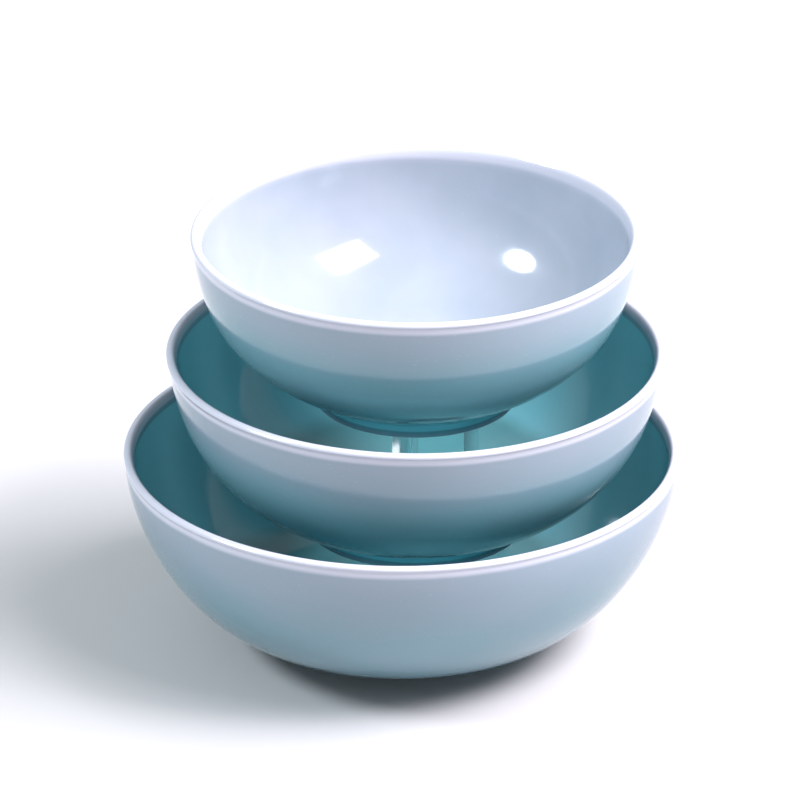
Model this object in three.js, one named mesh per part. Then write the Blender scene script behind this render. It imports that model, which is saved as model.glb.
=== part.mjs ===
// Three glazed dishes, large, medium and small, stacked for show: each upper dish
// stands inside the one below on a clear square riser.
// Millimetres, +Z up. The origin is the centre of the lowest foot ring, on the table.
import * as THREE from "three";

// ---- Driving sizes ---------------------------------------------------------

// Every dish is a body of revolution with its own size and curve. The wall leaves the
// foot at footSlope above the level, holds that way over footReach, and arrives at the
// rim leaning out by rimFlare from the upright (in, if negative), held over rimReach.
const LARGE_DISH = {
  rimDiameter: 250,
  height: 89,
  footDiameter: 113,
  floorDiameter: 84,
  footSlope: 2,
  footReach: 42,
  rimFlare: -2,
  rimReach: 24,
};
const MEDIUM_DISH = {
  rimDiameter: 224,
  height: 85.5,
  footDiameter: 101,
  floorDiameter: 76,
  footSlope: 19.5,
  footReach: 35,
  rimFlare: 7,
  rimReach: 40,
};
const SMALL_DISH = {
  rimDiameter: 201,
  height: 80.5,
  footDiameter: 91,
  floorDiameter: 68,
  footSlope: 24,
  footReach: 35,
  rimFlare: 4.5,
  rimReach: 38.5,
};

// The potter's sizes that all three dishes share.
const WALL = 4.2;
const FLOOR_THICKNESS = 5;
const FOOT_HEIGHT = 6.5;
const FOOT_RING_WIDTH = 5.5;
const FOOT_RECESS = 3.5; // the base inside the foot ring stands this far off the table
const FOOT_EDGE_RADIUS = 1.2;
const FOOT_FILLET = 2.5; // hollow where the wall springs from the foot
const RIM_THICKNESS = 5.8; // the rim is a bead, flatter than it is wide
const RIM_HEIGHT = 3;
const RIM_OVERHANG = 1; // the bead stands this far outside the wall
const RIM_LIP = 0.6; // and this far inside it

// The risers are cast clear blocks.
const RISER_SIDE = 30;
const RISER_EDGE = 0.8;
const LOWER_RISER_HEIGHT = 46.3;
const UPPER_RISER_HEIGHT = 56.7;
const LOWER_RISER_TURN = 38; // degrees about the upright
const UPPER_RISER_TURN = 23;

// How far the two upper dishes stand to the right of the large dish's centre, and each
// riser to the right of the dish that it carries.
const UPPER_DISHES_SHIFT = 6.5;
const LOWER_RISER_SHIFT = 0;
const UPPER_RISER_SHIFT = 8.8;

const SEAT_GAP = 0.3; // between pieces that stand on each other

// Facets
const TURN_STEPS = 56;
const WALL_STEPS = 9;
const BEAD_TOP_STEPS = 6;
const BEAD_END_STEPS = 2;
const FILLET_STEPS = 3;

// ---- Shapes ----------------------------------------------------------------

const point = (radius, height) => new THREE.Vector2(radius, height);

// A direction in the profile's plane, at an angle in degrees above the level.
function heading(degrees) {
  const angle = THREE.MathUtils.degToRad(degrees);
  return point(Math.cos(angle), Math.sin(angle));
}

const stepped = (from, way, length) => from.clone().addScaledVector(way, length);

// The outer wall as one cubic curve, from the foot fillet up to the rim bead.
function outerWall(dish) {
  const rimRadius = dish.rimDiameter / 2;
  const leave = heading(dish.footSlope);
  const arrive = heading(90 - dish.rimFlare);
  const corner = point(dish.footDiameter / 2, FOOT_HEIGHT);
  const start = stepped(corner, leave, FOOT_FILLET);
  const end = point(rimRadius - RIM_OVERHANG, dish.height - RIM_HEIGHT / 2 - beadDrop());
  return new THREE.CubicBezierCurve(
    start,
    stepped(start, leave, dish.footReach),
    stepped(end, arrive, -dish.rimReach),
    end,
  );
}

// The bead's section is an ellipse. This is the angle, from its widest place, at which
// it meets a wall that it passes by the given overhang.
const beadAngle = (overhang) => Math.acos(1 - overhang / (RIM_THICKNESS / 2));

// How far below the bead's centre it meets the outer wall.
const beadDrop = () => (RIM_HEIGHT / 2) * Math.sin(beadAngle(RIM_OVERHANG));

// The inner wall lies one wall thickness inside the outer one all the way.
function innerWallPoints(wall) {
  const points = [];
  for (let i = WALL_STEPS; i >= 0; i--) {
    const along = wall.getTangent(i / WALL_STEPS);
    const inward = point(-along.y, along.x);
    points.push(stepped(wall.getPoint(i / WALL_STEPS), inward, WALL));
  }
  return points;
}

// The bead from where it meets the outer wall, over the top, to the inner wall.
// It is drawn in three arcs, so that points fall on its widest and highest places.
function beadPoints(dish) {
  const across = RIM_THICKNESS / 2;
  const up = RIM_HEIGHT / 2;
  const centre = point(dish.rimDiameter / 2 - across, dish.height - up);
  const arc = (from, to, steps) =>
    new THREE.EllipseCurve(centre.x, centre.y, across, up, from, to).getPoints(steps);
  return [
    ...arc(-beadAngle(RIM_OVERHANG), 0, BEAD_END_STEPS).slice(1),
    ...arc(0, Math.PI, BEAD_TOP_STEPS).slice(1),
    ...arc(Math.PI, Math.PI + beadAngle(RIM_LIP), BEAD_END_STEPS).slice(1, -1),
  ];
}

// The foot ring: hollow base, flat ring to stand on, outer side and fillet to the wall.
function footPoints(dish, wall) {
  const outside = dish.footDiameter / 2;
  const inside = outside - FOOT_RING_WIDTH;
  const edge = FOOT_EDGE_RADIUS;
  const fillet = new THREE.QuadraticBezierCurve(
    point(outside, FOOT_HEIGHT - FOOT_FILLET),
    point(outside, FOOT_HEIGHT),
    wall.v0,
  );
  return [
    point(0, FOOT_RECESS),
    point(inside - edge, FOOT_RECESS),
    point(inside, FOOT_RECESS - edge),
    point(inside, edge),
    point(inside + edge, 0),
    point(outside - edge, 0),
    point(outside, edge),
    ...fillet.getPoints(FILLET_STEPS),
  ];
}

// The floor is level in the middle and sweeps up to meet the inner wall.
function floorPoints(dish, wallFoot) {
  const level = floorLevel();
  const edge = point(dish.floorDiameter / 2, level);
  const sweep = (wallFoot.x - edge.x) / 2;
  const curve = new THREE.CubicBezierCurve(
    wallFoot,
    stepped(wallFoot, heading(dish.footSlope), -sweep / 2),
    point(edge.x + sweep, level),
    edge,
  );
  return [...curve.getPoints(FILLET_STEPS).slice(1), point(0, level)];
}

const floorLevel = () => FOOT_RECESS + FLOOR_THICKNESS;

function dishGeometry(dish) {
  const wall = outerWall(dish);
  const inner = innerWallPoints(wall);
  const profile = [
    ...footPoints(dish, wall),
    ...wall.getPoints(WALL_STEPS).slice(1),
    ...beadPoints(dish),
    ...inner,
    ...floorPoints(dish, inner.at(-1)),
  ];
  return new THREE.LatheGeometry(profile, TURN_STEPS).rotateX(Math.PI / 2);
}

// A square block with its edges eased, standing on its base.
function riserGeometry(height) {
  const half = RISER_SIDE / 2 - RISER_EDGE;
  const square = new THREE.Shape([
    point(-half, -half),
    point(half, -half),
    point(half, half),
    point(-half, half),
  ]);
  const block = new THREE.ExtrudeGeometry(square, {
    depth: height - 2 * RISER_EDGE,
    bevelThickness: RISER_EDGE,
    bevelSize: RISER_EDGE,
    bevelSegments: 1,
  });
  return block.translate(0, 0, RISER_EDGE);
}

// ---- Materials -------------------------------------------------------------

const glaze = (color) => new THREE.MeshStandardMaterial({ color, roughness: 0.08, metalness: 0 });

const clearCast = () =>
  new THREE.MeshStandardMaterial({
    color: 0xd5e8ea,
    roughness: 0.03,
    metalness: 0,
    transparent: true,
    opacity: 0.35,
  });

// ---- Assembly --------------------------------------------------------------

function piece(name, geometry, material, shift, level) {
  const mesh = new THREE.Mesh(geometry, material);
  mesh.name = name;
  mesh.position.set(shift, 0, level);
  return mesh;
}

function riser(name, height, turn, shift, level) {
  const mesh = piece(name, riserGeometry(height), clearCast(), shift, level);
  mesh.rotation.z = THREE.MathUtils.degToRad(turn);
  return mesh;
}

// A riser stands on the floor of the dish below, and the next dish rests its hollow
// base on the riser, with its foot ring hanging round the riser's top.
const lowerRiserLevel = floorLevel() + SEAT_GAP;
const mediumDishLevel = lowerRiserLevel + LOWER_RISER_HEIGHT + SEAT_GAP - FOOT_RECESS;
const upperRiserLevel = mediumDishLevel + floorLevel() + SEAT_GAP;
const smallDishLevel = upperRiserLevel + UPPER_RISER_HEIGHT + SEAT_GAP - FOOT_RECESS;
const lowerRiserShift = UPPER_DISHES_SHIFT + LOWER_RISER_SHIFT;
const upperRiserShift = UPPER_DISHES_SHIFT + UPPER_RISER_SHIFT;

const stack = new THREE.Group();
stack.add(
  piece("large_dish", dishGeometry(LARGE_DISH), glaze(0x8fb2c4), 0, 0),
  riser("lower_riser", LOWER_RISER_HEIGHT, LOWER_RISER_TURN, lowerRiserShift, lowerRiserLevel),
  piece("medium_dish", dishGeometry(MEDIUM_DISH), glaze(0x96b8c9), UPPER_DISHES_SHIFT, mediumDishLevel),
  riser("upper_riser", UPPER_RISER_HEIGHT, UPPER_RISER_TURN, upperRiserShift, upperRiserLevel),
  piece("small_dish", dishGeometry(SMALL_DISH), glaze(0xa3c3d6), UPPER_DISHES_SHIFT, smallDishLevel),
);

export default stack;
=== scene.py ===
"""Glazed dishes stacked on clear risers: a Blender add-on, laid out to be run as a script."""
import math

import bpy
import numpy as np
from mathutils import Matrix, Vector


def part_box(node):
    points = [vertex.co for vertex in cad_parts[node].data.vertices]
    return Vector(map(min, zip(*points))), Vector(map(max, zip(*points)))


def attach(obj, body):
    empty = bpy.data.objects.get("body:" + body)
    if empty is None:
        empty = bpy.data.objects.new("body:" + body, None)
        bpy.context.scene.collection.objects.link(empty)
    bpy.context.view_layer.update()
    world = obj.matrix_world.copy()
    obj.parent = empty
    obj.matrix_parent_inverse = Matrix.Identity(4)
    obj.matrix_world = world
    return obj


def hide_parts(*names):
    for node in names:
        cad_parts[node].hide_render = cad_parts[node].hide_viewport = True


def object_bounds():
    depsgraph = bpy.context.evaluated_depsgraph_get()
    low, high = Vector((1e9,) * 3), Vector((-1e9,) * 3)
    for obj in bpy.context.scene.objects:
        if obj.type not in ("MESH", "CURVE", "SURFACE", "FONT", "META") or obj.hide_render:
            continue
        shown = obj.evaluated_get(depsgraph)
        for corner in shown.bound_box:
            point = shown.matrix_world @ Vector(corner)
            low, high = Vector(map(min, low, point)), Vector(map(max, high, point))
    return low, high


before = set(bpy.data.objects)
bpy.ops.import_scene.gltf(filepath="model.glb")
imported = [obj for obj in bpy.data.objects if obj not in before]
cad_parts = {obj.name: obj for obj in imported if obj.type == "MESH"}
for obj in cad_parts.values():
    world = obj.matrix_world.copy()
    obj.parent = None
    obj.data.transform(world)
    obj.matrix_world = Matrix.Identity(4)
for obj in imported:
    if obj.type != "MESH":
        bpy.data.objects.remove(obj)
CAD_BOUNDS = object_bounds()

bl_info = {
    "name": "Dish Stack",
    "version": (1, 0, 0),
    "blender": (4, 5, 0),
    "location": "3D View > Sidebar > Dishes",
    "description": "Glazed dishes stacked on clear square risers, with their studio",
    "category": "Add Mesh",
}

MM = 0.001
DISHES = ("large_dish", "medium_dish", "small_dish")
RISERS = ("lower_riser", "upper_riser")
# The glaze colours from light to dark: the light rim colour is partly painted highlight, the darker teals
# are painted shade.
GLAZES = ("Thin_and_lit", "Body", "Low_shade", "Pool", "Floor_shade", "Clay")

TURN_STEPS = 288
WALL_STEPS = 56
LOW_STEPS = 32  # of the wall's steps, those low outside, where the painted shade lies even
SHADE_RAMP_STEPS = 20  # those low inside, where the painted shade starts to darken
FLOOR_SHADE_STEPS = 8  # and those where the painted shade is darkest
RIM_GLAZE = 0.32  # how thick the glaze lies just under the rim


# ---- Sizes and colours that a user would change ------------------------------


def length(name, text, millimetres):
    return bpy.props.FloatProperty(
        name=name, description=text, default=millimetres * MM, min=0.0, unit="LENGTH", precision=4
    )


def angle(name, text, degrees):
    return bpy.props.FloatProperty(
        name=name, description=text, default=math.radians(degrees), subtype="ANGLE"
    )


def colour(name, text, rgb):
    return bpy.props.FloatVectorProperty(
        name=name, description=text, default=rgb, size=3, min=0.0, max=1.0, subtype="COLOR"
    )


def factor(name, text, value, top=1.0):
    return bpy.props.FloatProperty(name=name, description=text, default=value, min=0.0, max=top)


def dish_curve(foot, floor, slope, reach, flare, hold, inside, floor_shade, outside):
    """The properties of one dish's own curve, with its defaults in millimetres and degrees, and the glaze
    values that paint its light and shade.
    """
    return {
        "foot": length("Foot diameter", "Across the outside of the foot ring", foot),
        "floor": length("Floor diameter", "Across the level part of the floor", floor),
        "slope": angle("Foot slope", "How steeply the wall leaves the foot, from the level", slope),
        "reach": length("Foot reach", "How far the wall holds that slope", reach),
        "flare": angle("Rim flare", "How far the wall leans out at the rim", flare),
        "hold": length("Rim reach", "How far the wall holds that lean below the rim", hold),
        # Inner, floor and outer glaze pick painted light and shade: low values a light, lit glaze, high
        # ones the teal of painted shade.
        "inside": factor("Inner glaze", "How thick the glaze lies inside, from thin to pooled", inside),
        "floor_shade": factor("Floor glaze", "How thick it lies low inside and on the floor", floor_shade),
        "outside": factor("Outer glaze", "How thick it lies low on the outside", outside),
    }


# The lower two dishes get painted shade inside and on their floors, the top dish a light, lit inside; all
# get painted shade low outside.
class LargeDish(bpy.types.PropertyGroup):
    __annotations__ = dish_curve(foot=113, floor=84, slope=2, reach=42, flare=-2, hold=24,
                                 inside=0.88, floor_shade=1.0, outside=0.5)


class MediumDish(bpy.types.PropertyGroup):
    __annotations__ = dish_curve(foot=101, floor=76, slope=19.5, reach=35, flare=7, hold=40,
                                 inside=0.88, floor_shade=1.0, outside=0.63)


class SmallDish(bpy.types.PropertyGroup):
    __annotations__ = dish_curve(foot=91, floor=68, slope=24, reach=35, flare=4.5, hold=38.5,
                                 inside=0.2, floor_shade=0.21, outside=0.68)


class Ware(bpy.types.PropertyGroup):
    """What the dishes share: the thicknesses, the foot ring and the rim bead."""

    wall: length("Wall", "Thickness of the wall", 4.2)
    floor_thickness: length("Floor thickness", "Thickness of the floor", 5)
    foot_height: length("Foot height", "Height of the foot ring's outside", 6.5)
    ring_width: length("Ring width", "Width of the foot ring", 5.5)
    recess: length("Recess", "Height of the base inside the foot ring", 3.5)
    edge: length("Foot edge", "Radius of the foot ring's edges", 1.2)
    fillet: length("Foot fillet", "Size of the hollow above the foot", 2.5)
    rim: length("Rim bead", "Width of the rim's outer bead", 4.6)
    rim_height: length("Rim height", "Height of the rim bead", 3)
    overhang: length("Rim overhang", "How far the bead stands outside the wall", 0.7)
    roll: length("Rim roll", "How far down the inside the rim is rounded", 5)
    warp: length("Warp", "How far the firing draws a rim out of round", 0.25)


class Finishes(bpy.types.PropertyGroup):
    """The colours of the glaze, with its painted light and shade, the bare clay, the clear blocks and the
    floor.
    """

    # Partly the glaze running off the rim and partly painted highlight: the light colour of the rims,
    # which also lightens the top dish's inside as painted light.
    thin_and_lit: colour("Thin glaze", "Where the glaze runs off the rim", (0.465, 0.485, 0.56))
    body: colour("Body glaze", "The glaze on the walls", (0.215, 0.275, 0.332))
    # Painted shade: a darker teal low on the outside of each dish.
    low_shade: colour("Deep glaze", "The glaze low on the outside", (0.135, 0.275, 0.32))
    # Painted shade: the teal inside the lower two dishes and in the hollow above each foot; the same
    # colour also tints the fine flecks.
    pool: colour("Pooled glaze", "Where the glaze gathers inside and at the foot", (0.19, 0.53, 0.60))
    # Painted shade: the darkest teal, low inside and on the floors of the lower two dishes.
    floor_shade: colour("Settled glaze", "Where it lies thickest, low inside a dish", (0.11, 0.31, 0.34))
    clay: colour("Clay", "The bare clay of the foot ring", (0.62, 0.58, 0.52))
    gloss: factor("Glaze roughness", "Roughness of the clean glaze", 0.1)
    clear: colour("Clear block", "The tint of the clear blocks", (0.90, 0.98, 0.98))
    floor: colour("Floor", "The pale floor", (0.46, 0.465, 0.47))


class Studio(bpy.types.PropertyGroup):
    """The camera and the lights."""

    elevation: angle("Camera elevation", "How far the camera looks down", 24.94)
    distance: bpy.props.FloatProperty(
        name="Camera distance", description="From the camera to the stack", default=3.47, unit="LENGTH"
    )
    view_width: length("View width", "Width of the view at the stack", 359.7)
    key_power: factor("Key power", "Power of the softbox in front on the right, in watts", 78, 1000)
    side_power: factor("Side power", "Power of the large panel on the right, in watts", 205, 1000)
    fill_power: factor("Fill power", "Power of the round light on the left, in watts", 78, 1000)
    sky: factor("Sky strength", "Strength of the even light all round", 0.5, 10)


# ---- Profiles ------------------------------------------------------------------


def heading(angle_up):
    """The unit direction at an angle above the level, in the plane of a profile."""
    return np.array([math.cos(angle_up), math.sin(angle_up)])


def cubic(p0, p1, p2, p3, steps):
    """Points of the cubic curve (1-t)^3 p0 + 3(1-t)^2 t p1 + 3(1-t) t^2 p2 + t^3 p3."""
    t = np.linspace(0.0, 1.0, steps + 1)[:, None]
    s = 1.0 - t
    return s**3 * p0 + 3 * s**2 * t * p1 + 3 * s * t**2 * p2 + t**3 * p3


def arc(centre, radii, start, end, steps):
    """Points centre + (A cos a, B sin a), with radii A, B and a going evenly from start to end."""
    a = np.linspace(start, end, steps + 1)
    return np.asarray(centre) + np.asarray(radii) * np.stack([np.cos(a), np.sin(a)], 1)


def straight(start, end, steps):
    """Evenly spaced points from start to end."""
    t = np.linspace(0.0, 1.0, steps + 1)[:, None]
    return (1.0 - t) * np.asarray(start) + t * np.asarray(end)


def inward_offset(points, distance):
    """Each point moved to the left of its direction of travel by the distance."""
    along = np.gradient(points, axis=0)
    along /= np.linalg.norm(along, axis=1)[:, None]
    return points + distance * np.stack([-along[:, 1], along[:, 0]], 1)


def dish_profile(curve, ware, rim_radius, height):
    """A dish's closed section from the axis under its base, round the foot, wall and rim, to the axis on
    its floor. It gives the points and, for each, how thick the glaze lies with painted light and shade
    laid on it (0 running off with painted light, 1 pooled with the darkest painted shade) and how bare the
    clay is (0 glazed, 1 bare)."""
    outside = curve.foot / 2
    inside = outside - ware.ring_width
    e = ware.edge
    bead = np.array([ware.rim, ware.rim_height]) / 2
    right, up = np.array([1.0, 0.0]), np.array([0.0, 1.0])

    leave = heading(curve.slope)
    start = np.array([outside, ware.foot_height]) + ware.fillet * leave
    under = math.acos(1 - ware.overhang / bead[0])
    bead_centre = np.array([rim_radius, height]) - bead
    end = np.array([rim_radius - ware.overhang, bead_centre[1] - bead[1] * math.sin(under)])
    arrive = heading(math.pi / 2 - curve.flare)
    wall = cubic(start, start + curve.reach * leave, end - curve.hold * arrive, end, WALL_STEPS)
    inner = inward_offset(wall, ware.wall)[::-1]
    inner = inner[inner[:, 1] < height - ware.roll]
    top = bead_centre + bead[1] * up
    down = (inner[1] - inner[0]) / np.linalg.norm(inner[1] - inner[0])
    pull = 0.55 * (top - inner[0])
    roll = cubic(top, top - pull[0] * right, inner[0] - pull[1] * down, inner[0], 16)
    level = ware.recess + ware.floor_thickness
    floor_edge = np.array([curve.floor / 2, level])
    sweep = (inner[-1][0] - floor_edge[0]) / 2
    pulled = inner[-1] - 0.5 * sweep * leave, floor_edge + sweep * right
    sweep_in = cubic(inner[-1], *pulled, floor_edge, 10)
    corner = np.array([outside, ware.foot_height])
    low = corner - ware.fillet * up
    fillet = cubic(low, (low + 2 * corner) / 3, (start + 2 * corner) / 3, start, 6)
    quarter = math.pi / 2
    # Each stretch, the glaze value at its two ends, and how bare the clay is there; high values are
    # painted shade.
    parts = [
        # Painted shade under the base.
        (straight((0, ware.recess), (inside - e, ware.recess), 14), 0.5, 0.5, 0, 0),
        (arc((inside - e, ware.recess - e), (e, e), quarter, 0, 5), 0.6, 0.6, 0, 0),
        (straight((inside, ware.recess - e), (inside, e), 2), 0.6, 0.3, 0, 0),
        (arc((inside + e, e), (e, e), math.pi, 1.5 * math.pi, 5), 0.3, 0.2, 0, 1),
        (straight((inside + e, 0), (outside - e, 0), 6), 0.2, 0.2, 1, 1),
        (arc((outside - e, e), (e, e), -quarter, 0, 5), 0.2, 0.3, 1, 0),
        # Painted shade rising into the hollow above the foot.
        (straight((outside, e), low, 3), 0.3, 0.9, 0, 0),
        (fillet, 0.9, curve.outside, 0, 0),
        # Painted shade low on the outside, fading up the wall.
        (wall[:LOW_STEPS + 1], curve.outside, curve.outside, 0, 0),
        (wall[LOW_STEPS:], curve.outside, RIM_GLAZE, 0, 0),
        (arc(bead_centre, bead, -under, quarter, 16), RIM_GLAZE, RIM_GLAZE, 0, 0),
        (roll, min(RIM_GLAZE, curve.inside), curve.inside, 0, 0),
        # Inside: a light, lit glaze in the top dish, painted shade in the lower two, darkest on their
        # floors.
        (inner[:-SHADE_RAMP_STEPS], curve.inside, curve.inside, 0, 0),
        (inner[-SHADE_RAMP_STEPS - 1:-FLOOR_SHADE_STEPS], curve.inside, curve.floor_shade, 0, 0),
        (inner[-FLOOR_SHADE_STEPS - 1:], curve.floor_shade, curve.floor_shade, 0, 0),
        (sweep_in, curve.floor_shade, curve.floor_shade, 0, 0),
        (straight(floor_edge, (0, level), 14), curve.floor_shade, curve.floor_shade, 0, 0),
    ]
    points, glaze, bare = [], [], []
    for stretch, glaze_shading_from, glaze_shading_to, bare_from, bare_to in parts:
        t = np.linspace(0.0, 1.0, len(stretch))
        points.append(stretch[:-1])
        glaze.append((glaze_shading_from + (glaze_shading_to - glaze_shading_from) * t)[:-1])
        bare.append((bare_from + (bare_to - bare_from) * t)[:-1])
    points.append(parts[-1][0][-1:])
    glaze.append(np.array([parts[-1][2]]))
    bare.append(np.zeros(1))
    points, glaze, bare = np.concatenate(points), np.concatenate(glaze), np.concatenate(bare)
    # The glaze runs off the rim, and is whole again 1.4 bead widths from its centre; the light rim is also
    # a painted highlight.
    from_rim = np.linalg.norm(points - bead_centre, axis=1)
    glaze *= smooth(from_rim / ware.rim - 0.4)
    return points, glaze, bare


def smooth(x):
    """The smooth step 3x^2 - 2x^3 of x held between 0 and 1."""
    x = np.clip(x, 0.0, 1.0)
    return x * x * (3.0 - 2.0 * x)


# ---- Surfaces ------------------------------------------------------------------


def revolved(points, turns, warp, height, phase):
    """The surface x = (r + w) cos u, y = (r + w) sin u, at the height z - |w| / 2, of a profile
    (r, z) turned through u. The warp w = warp (z / height)^2 (cos(2u + phase) + 0.4 cos(3u - phase))
    draws the rim a little out of round. The first and last points lie on the axis, one vertex each."""
    u = np.linspace(0.0, 2 * math.pi, turns, endpoint=False)[None, :]
    r, z = points[1:-1, 0][:, None], points[1:-1, 1][:, None]
    lobes = np.cos(2 * u + phase) + 0.4 * np.cos(3 * u - phase)
    w = warp * (z / height) ** 2 * lobes
    ring = np.stack([(r + w) * np.cos(u), (r + w) * np.sin(u), z - 0.5 * np.abs(w) + 0 * u], 2)
    poles = np.array([[0, 0, points[0, 1]], [0, 0, points[-1, 1]]])
    return np.concatenate([ring.reshape(-1, 3), poles])


def on_rings(values, turns):
    """A profile's values, one a point, repeated round each ring, with the two poles' last."""
    return np.concatenate([np.repeat(values[1:-1], turns), values[:1], values[-1:]])


def ring_faces(rings, turns):
    """Quads between neighbouring rings of a closed grid, and fans to its two poles."""
    i = np.arange(rings - 1)[:, None] * turns
    j = np.arange(turns)[None, :]
    k = (j + 1) % turns
    quads = np.stack([i + j, i + k, i + turns + k, i + turns + j], 2).reshape(-1, 4)
    low, high = rings * turns, rings * turns + 1
    j, k = j[0], k[0]
    last = (rings - 1) * turns
    first_fan = np.stack([np.full(turns, low), k, j], 1)
    last_fan = np.stack([last + j, last + k, np.full(turns, high)], 1)
    return quads, np.concatenate([first_fan, last_fan])


def make_mesh(name, verts, quads, tris, values=()):
    """A smooth mesh from whole arrays, with a number for each vertex under each given name."""
    mesh = bpy.data.meshes.new(name)
    mesh.vertices.add(len(verts))
    mesh.vertices.foreach_set("co", verts.astype(np.float32).ravel())
    loops = np.concatenate([quads.ravel(), tris.ravel()]).astype(np.int32)
    totals = np.concatenate([np.full(len(quads), 4), np.full(len(tris), 3)])
    starts = np.concatenate([[0], np.cumsum(totals)[:-1]])
    mesh.loops.add(len(loops))
    mesh.loops.foreach_set("vertex_index", loops)
    mesh.polygons.add(len(totals))
    mesh.polygons.foreach_set("loop_start", starts.astype(np.int32))
    mesh.polygons.foreach_set("use_smooth", np.ones(len(totals), bool))
    for key, value in values:
        layer = mesh.attributes.new(key, "FLOAT", "POINT")
        layer.data.foreach_set("value", value.astype(np.float32))
    mesh.update(calc_edges=True)
    mesh.validate()
    return mesh


def put(name, mesh, material, node):
    """The mesh as a piece that stands for a CAD node and rides on the body of the same name."""
    piece = bpy.data.objects.new(name, mesh)
    bpy.context.scene.collection.objects.link(piece)
    mesh.materials.append(material)
    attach(piece, node)
    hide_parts(node)
    return piece


# ---- Materials -----------------------------------------------------------------


class Tree:
    """A node tree with short calls to add nodes and join them."""

    def __init__(self, tree):
        self.tree = tree

    def add(self, kind, **settings):
        node = self.tree.nodes.new(kind)
        for key, value in settings.items():
            setattr(node, key, value)
        return node

    def join(self, source, target):
        self.tree.links.new(source, target)

    def give(self, target, value):
        """A link where value is a socket, and otherwise a number or colour set on the input."""
        if isinstance(value, bpy.types.NodeSocket):
            self.join(value, target)
        elif target.type == "RGBA" and len(value) == 3:
            target.default_value = (*value, 1.0)
        else:
            target.default_value = value

    def math(self, operation, a, b=0.0, clamp=False):
        node = self.add("ShaderNodeMath", operation=operation, use_clamp=clamp)
        self.give(node.inputs[0], a)
        self.give(node.inputs[1], b)
        return node.outputs[0]

    def blend(self, amount, a, b):
        node = self.add("ShaderNodeMix", data_type="RGBA")
        self.give(node.inputs["Factor"], amount)
        self.give(node.inputs[6], a)
        self.give(node.inputs[7], b)
        return node.outputs[2]

    def span(self, value, low, high, to_low=0.0, to_high=1.0):
        node = self.add("ShaderNodeMapRange", interpolation_type="SMOOTHSTEP")
        self.give(node.inputs["Value"], value)
        for key, number in zip(("From Min", "From Max", "To Min", "To Max"), (low, high, to_low, to_high)):
            self.give(node.inputs[key], number)
        return node.outputs["Result"]

    def noise(self, vector, scale, detail=2.0):
        node = self.add("ShaderNodeTexNoise")
        self.join(vector, node.inputs["Vector"])
        self.give(node.inputs["Scale"], scale)
        self.give(node.inputs["Detail"], detail)
        return node.outputs["Fac"]


def socket(group, name, kind, way, default=None):
    """A named socket on a group, an INPUT or an OUTPUT, with its default if it has one."""
    made = group.interface.new_socket(name=name, in_out=way, socket_type="NodeSocket" + kind)
    if default is not None:
        made.default_value = default


def glaze_group():
    """Glaze over clay: its colour follows its thickness, with painted light at the low end and painted
    shade at the high end, drifts in soft clouds and carries a few fine flecks; the bare clay is rough and
    grainy."""
    group = bpy.data.node_groups.new("Glaze over clay", "ShaderNodeTree")
    socket(group, "Position", "Vector", "INPUT")
    # Thickness carries the glaze's thickness together with painted light and shade.
    socket(group, "Thickness", "Float", "INPUT", 0.5)
    socket(group, "Bare", "Float", "INPUT", 0.0)
    for name in GLAZES:
        socket(group, name, "Color", "INPUT")
    socket(group, "Gloss", "Float", "INPUT", 0.06)
    for name, kind in (("Colour", "Color"), ("Roughness", "Float"), ("Height", "Float")):
        socket(group, name, kind, "OUTPUT")
    t = Tree(group)
    given = t.add("NodeGroupInput").outputs
    out = t.add("NodeGroupOutput").inputs
    place = given["Position"]

    clouds = t.noise(place, 22.0, 3.0)
    drift = t.math("MULTIPLY", t.math("SUBTRACT", clouds, 0.5), 0.10)
    glaze_and_shading = t.math("ADD", given["Thickness"], drift, clamp=True)
    # From low to high: the light rim glaze with painted highlight, the body glaze, painted shade low
    # outside, painted shade inside the lower dishes, and the darkest painted shade on their floors.
    base = t.blend(t.span(glaze_and_shading, 0.05, 0.3), given["Thin_and_lit"], given["Body"])
    base = t.blend(t.span(glaze_and_shading, 0.34, 0.6), base, given["Low_shade"])
    base = t.blend(t.span(glaze_and_shading, 0.65, 0.85), base, given["Pool"])
    base = t.blend(t.span(glaze_and_shading, 0.91, 0.98), base, given["Floor_shade"])
    flecks = t.span(t.noise(place, 900.0, 1.0), 0.70, 0.78)
    base = t.blend(t.math("MULTIPLY", flecks, 0.25), base, given["Pool"])

    grain = t.noise(place, 1400.0, 3.0)
    bare_edge = t.span(t.math("ADD", given["Bare"], t.math("MULTIPLY", drift, 1.2)), 0.35, 0.6)
    clay = t.blend(t.math("MULTIPLY", grain, 0.35), given["Clay"], (0.42, 0.38, 0.33))
    t.give(out["Colour"], t.blend(bare_edge, base, clay))

    handling = t.span(t.noise(place, 60.0, 4.0), 0.45, 0.75, 0.0, 0.05)
    gloss = t.math("ADD", given["Gloss"], handling)
    rough = t.add("ShaderNodeMix", data_type="FLOAT")
    t.give(rough.inputs["Factor"], bare_edge)
    t.give(rough.inputs[2], gloss)
    t.give(rough.inputs[3], 0.7)
    t.give(out["Roughness"], rough.outputs[0])

    ripple = t.noise(place, 120.0, 1.0)
    peel = t.noise(place, 420.0, 2.0)
    soft = t.math("ADD", t.math("MULTIPLY", ripple, 0.7), t.math("MULTIPLY", peel, 0.12))
    rough_height = t.math("MULTIPLY", t.math("MULTIPLY", grain, bare_edge), 1.5)
    t.give(out["Height"], t.math("ADD", soft, rough_height))
    return group


def new_material(name):
    """An empty material's tree, its surface shader and its place coordinates."""
    made = bpy.data.materials.new(name)
    made.use_nodes = True
    t = Tree(made.node_tree)
    shader = next(n for n in made.node_tree.nodes if n.type == "BSDF_PRINCIPLED")
    place = t.add("ShaderNodeTexCoord").outputs["Object"]
    return made, t, shader, place


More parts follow.
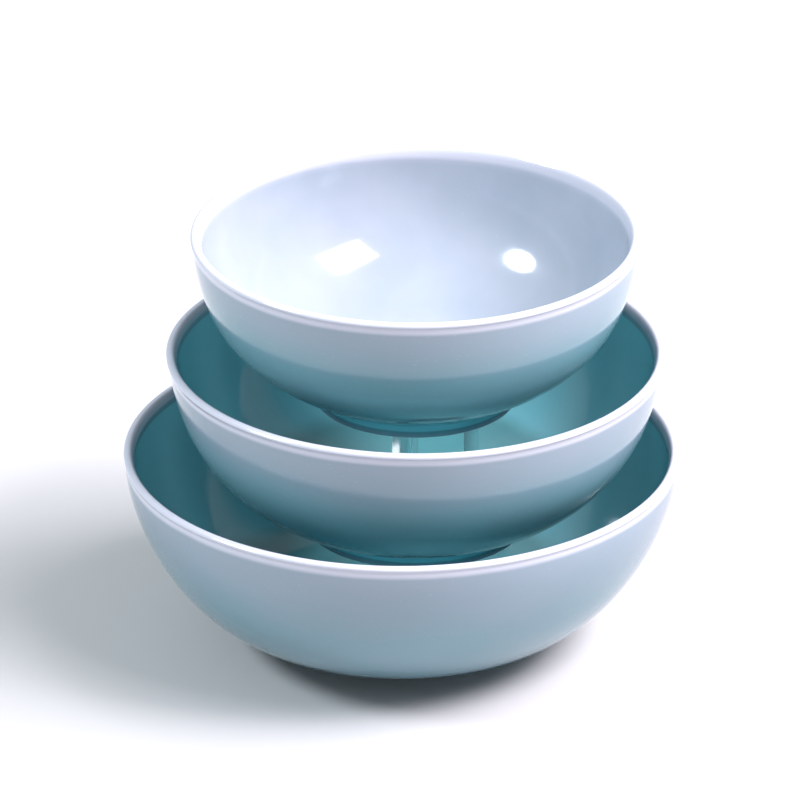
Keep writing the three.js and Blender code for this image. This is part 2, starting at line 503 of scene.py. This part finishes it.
def glaze_material(finishes):
    made, t, shader, place = new_material("pale blue glaze")
    group = t.add("ShaderNodeGroup")
    group.node_tree = bpy.data.node_groups.get("Glaze over clay") or glaze_group()
    t.join(place, group.inputs["Position"])
    # The glaze attribute brings the glaze's thickness with its painted light and shade.
    for socket_name, attribute in (("Thickness", "glaze"), ("Bare", "bare")):
        source = t.add("ShaderNodeAttribute", attribute_name=attribute)
        t.join(source.outputs["Fac"], group.inputs[socket_name])
    for socket_name in GLAZES:
        t.give(group.inputs[socket_name], tuple(getattr(finishes, socket_name.lower())))
    t.give(group.inputs["Gloss"], finishes.gloss)
    t.join(group.outputs["Colour"], shader.inputs["Base Color"])
    t.join(group.outputs["Roughness"], shader.inputs["Roughness"])
    shader.inputs["IOR"].default_value = 1.55
    bump = t.add("ShaderNodeBump")
    bump.inputs["Strength"].default_value = 0.06
    bump.inputs["Distance"].default_value = 0.00012
    t.join(group.outputs["Height"], bump.inputs["Height"])
    t.join(bump.outputs["Normal"], shader.inputs["Normal"])
    return made


def clear_material(finishes):
    made, t, shader, place = new_material("clear cast block")
    shader.inputs["Base Color"].default_value = (*finishes.clear, 1.0)
    shader.inputs["Transmission Weight"].default_value = 1.0
    shader.inputs["IOR"].default_value = 1.49
    shader.inputs["Specular IOR Level"].default_value = 0.2
    scuffs = t.span(t.noise(place, 90.0, 5.0), 0.5, 0.8, 0.01, 0.09)
    t.join(scuffs, shader.inputs["Roughness"])
    return made


def floor_material(finishes):
    made, t, shader, place = new_material("pale floor")
    cloud = t.noise(place, 3.0, 3.0)
    paler = tuple(min(1.0, c * 1.03) for c in finishes.floor)
    t.join(t.blend(cloud, tuple(finishes.floor), paler), shader.inputs["Base Color"])
    t.join(t.span(cloud, 0.3, 0.7, 0.5, 0.6), shader.inputs["Roughness"])
    shader.inputs["Specular IOR Level"].default_value = 0.3
    return made


# ---- Pieces ----------------------------------------------------------------------


def centre_of(node):
    """The middle and the two far corners of the box that a CAD node fills."""
    low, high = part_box(node)
    return (low + high) / 2, low, high


class DISHES_OT_dishes(bpy.types.Operator):
    """Make the dishes, each a glazed body of revolution in its CAD node's place"""

    bl_idname = "dish_stack.dishes"
    bl_label = "Make Dishes"

    def execute(self, context):
        stack = context.scene.dish_stack
        material = glaze_material(stack.finishes)
        for phase, node in enumerate(DISHES):
            middle, low, high = centre_of(node)
            height = high.z - low.z
            curve = getattr(stack, node)
            points, glaze, bare = dish_profile(curve, stack.ware, (high.x - low.x) / 2, height)
            verts = revolved(points, TURN_STEPS, stack.ware.warp, height, 1.9 * phase)
            verts += np.array([middle.x, middle.y, low.z])
            quads, tris = ring_faces(len(points) - 2, TURN_STEPS)
            values = (("glaze", on_rings(glaze, TURN_STEPS)), ("bare", on_rings(bare, TURN_STEPS)))
            mesh = make_mesh(node + "_ware", verts, quads, tris, values)
            put(node + "_ware", mesh, material, node)
        return {"FINISHED"}


def rounded_block(half, height, turn, edge, corner_steps, face_steps):
    """A square block with rounded edges. Its outline at inset d is a square of half side
    half - d whose corners are arcs of radius edge - d about fixed centres; d and z follow a
    quarter circle at the foot and at the top, and shrink to the middle on the two ends."""
    quarter = math.pi / 2
    a = np.linspace(0, quarter, corner_steps + 1)
    angles = np.concatenate([a + k * quarter for k in range(4)])
    sign_x = np.repeat([1, -1, -1, 1], corner_steps + 1)
    sign_y = np.repeat([1, 1, -1, -1], corner_steps + 1)
    b = np.linspace(0, quarter, corner_steps + 1)
    inset = np.concatenate([edge * (1 - np.sin(b)), edge * (1 - np.cos(b))])
    level = np.concatenate([edge * (1 - np.cos(b)), height - edge * (1 - np.sin(b))])
    radius = (edge - inset)[:, None]
    x = sign_x * (half - edge) + radius * np.cos(angles)
    y = sign_y * (half - edge) + radius * np.sin(angles)
    rings = np.stack([x, y, level[:, None] + 0 * x], 2)
    closer = np.linspace(1, 0, face_steps + 1)[1:-1][:, None, None]
    shrink = closer * np.array([1, 1, 0]) + np.array([0, 0, 1])
    ends = np.concatenate([rings[:1] * shrink[::-1], rings, rings[-1:] * shrink])
    verts = np.concatenate([ends.reshape(-1, 3), [[0, 0, 0], [0, 0, height]]])
    cos, sin = math.cos(turn), math.sin(turn)
    spun = verts @ np.array([[cos, sin, 0], [-sin, cos, 0], [0, 0, 1]])
    return spun, len(ends), len(angles)


class DISHES_OT_risers(bpy.types.Operator):
    """Make the clear square blocks that prop the upper dishes up"""

    bl_idname = "dish_stack.risers"
    bl_label = "Make Risers"

    def execute(self, context):
        stack = context.scene.dish_stack
        material = clear_material(stack.finishes)
        side = stack.riser_side
        for node, turn in zip(RISERS, (stack.lower_turn, stack.upper_turn)):
            middle, low, high = centre_of(node)
            verts, rings, around = rounded_block(side / 2, high.z - low.z, turn, stack.riser_edge, 5, 6)
            verts += np.array([middle.x, middle.y, low.z])
            quads, tris = ring_faces(rings, around)
            mesh = make_mesh(node + "_block", verts, quads, tris)
            put(node + "_block", mesh, material, node)
        return {"FINISHED"}


# ---- Stage -----------------------------------------------------------------------

LIGHT_DISTANCE = 3.0
FLOOR_REACH = 6.0
FLOOR_DROP = 0.0003  # so that the foot ring and the floor don't share a plane


def toward(azimuth, elevation):
    """The direction at an azimuth to the right of the viewer's side, and an elevation."""
    flat = math.cos(elevation)
    return Vector((flat * math.sin(azimuth), -flat * math.cos(azimuth), math.sin(elevation)))


def area_light(name, aim, azimuth, elevation, shape, size, power, tint):
    """A light that faces the aim from LIGHT_DISTANCE away, at an azimuth and elevation in degrees."""
    data = bpy.data.lights.new(name, "AREA")
    data.shape = shape
    data.size = size[0]
    data.size_y = size[1]
    data.energy = power
    data.color = tint
    light = bpy.data.objects.new(name, data)
    direction = toward(math.radians(azimuth), math.radians(elevation))
    light.location = aim + direction * LIGHT_DISTANCE
    light.rotation_euler = (-direction).to_track_quat("-Z", "Y").to_euler()
    light.visible_transmission = False
    bpy.context.scene.collection.objects.link(light)
    return light


class DISHES_OT_stage(bpy.types.Operator):
    """Make the pale floor, the soft studio light and the camera"""

    bl_idname = "dish_stack.stage"
    bl_label = "Make Stage"

    def execute(self, context):
        scene = context.scene
        studio = scene.dish_stack.studio
        low, high = (Vector(v) for v in CAD_BOUNDS)

        world = bpy.data.worlds.new("studio air")
        world.use_nodes = True
        sky = next(n for n in world.node_tree.nodes if n.type == "BACKGROUND")
        sky.inputs["Color"].default_value = (0.93, 0.96, 1.0, 1.0)
        sky.inputs["Strength"].default_value = studio.sky
        scene.world = world

        mesh = bpy.data.meshes.new("studio_floor")
        corners = [(FLOOR_REACH * x, FLOOR_REACH * y, 0) for x, y in ((-1, -1), (1, -1), (1, 1), (-1, 1))]
        mesh.from_pydata(corners, [], [(0, 1, 2, 3)])
        mesh.materials.append(floor_material(scene.dish_stack.finishes))
        ground = bpy.data.objects.new("studio_floor", mesh)
        ground.location.z = low.z - FLOOR_DROP
        scene.collection.objects.link(ground)

        rim = Vector((0.0, 0.0, high.z * 0.85))
        lavender, cool = (1.0, 0.925, 0.985), (0.86, 0.95, 1.0)
        area_light("key softbox", rim, 56, 49, "RECTANGLE", (1.36, 1.0), studio.key_power, lavender)
        side = area_light("side panel", rim, 86, 47, "RECTANGLE", (2.2, 1.6), studio.side_power, lavender)
        side.visible_glossy = False
        area_light("round fill", rim, -79, 39, "ELLIPSE", (0.98, 0.78), studio.fill_power, cool)

        aim = Vector((-0.0005, 0.0, 0.112))
        data = bpy.data.cameras.new("camera")
        data.sensor_width = 36.0
        data.lens = 36.0 * studio.distance / studio.view_width
        data.clip_end = 50.0
        camera = bpy.data.objects.new("camera", data)
        direction = toward(0.0, studio.elevation)
        camera.location = aim + direction * studio.distance
        camera.rotation_euler = (-direction).to_track_quat("-Z", "Y").to_euler()
        scene.collection.objects.link(camera)
        scene.camera = camera
        scene.view_settings.view_transform = "Standard"
        return {"FINISHED"}


# ---- Add-on ----------------------------------------------------------------------


class DishStack(bpy.types.PropertyGroup):
    """Everything that can be set, kept on the scene."""

    large_dish: bpy.props.PointerProperty(type=LargeDish)
    medium_dish: bpy.props.PointerProperty(type=MediumDish)
    small_dish: bpy.props.PointerProperty(type=SmallDish)
    ware: bpy.props.PointerProperty(type=Ware)
    finishes: bpy.props.PointerProperty(type=Finishes)
    studio: bpy.props.PointerProperty(type=Studio)
    riser_side: length("Riser side", "Across the flats of a clear block", 30)
    riser_edge: length("Riser edge", "Radius of a clear block's edges", 0.8)
    lower_turn: angle("Lower riser turn", "How far the lower block is turned", 38)
    upper_turn: angle("Upper riser turn", "How far the upper block is turned", 23)


class DISHES_PT_panel(bpy.types.Panel):
    bl_idname = "DISHES_PT_panel"
    bl_label = "Dish Stack"
    bl_space_type = "VIEW_3D"
    bl_region_type = "UI"
    bl_category = "Dishes"

    def draw(self, context):
        for operator in OPERATORS:
            self.layout.operator(operator.bl_idname)


GROUPS = (LargeDish, MediumDish, SmallDish, Ware, Finishes, Studio, DishStack)
OPERATORS = (DISHES_OT_stage, DISHES_OT_dishes, DISHES_OT_risers)
CLASSES = (*GROUPS, *OPERATORS, DISHES_PT_panel)


def register():
    for cls in CLASSES:
        bpy.utils.register_class(cls)
    bpy.types.Scene.dish_stack = bpy.props.PointerProperty(type=DishStack)


def unregister():
    del bpy.types.Scene.dish_stack
    for cls in reversed(CLASSES):
        bpy.utils.unregister_class(cls)


def main():
    register()
    bpy.ops.dish_stack.stage()
    bpy.ops.dish_stack.dishes()
    bpy.ops.dish_stack.risers()


if __name__ == "__main__":
    main()
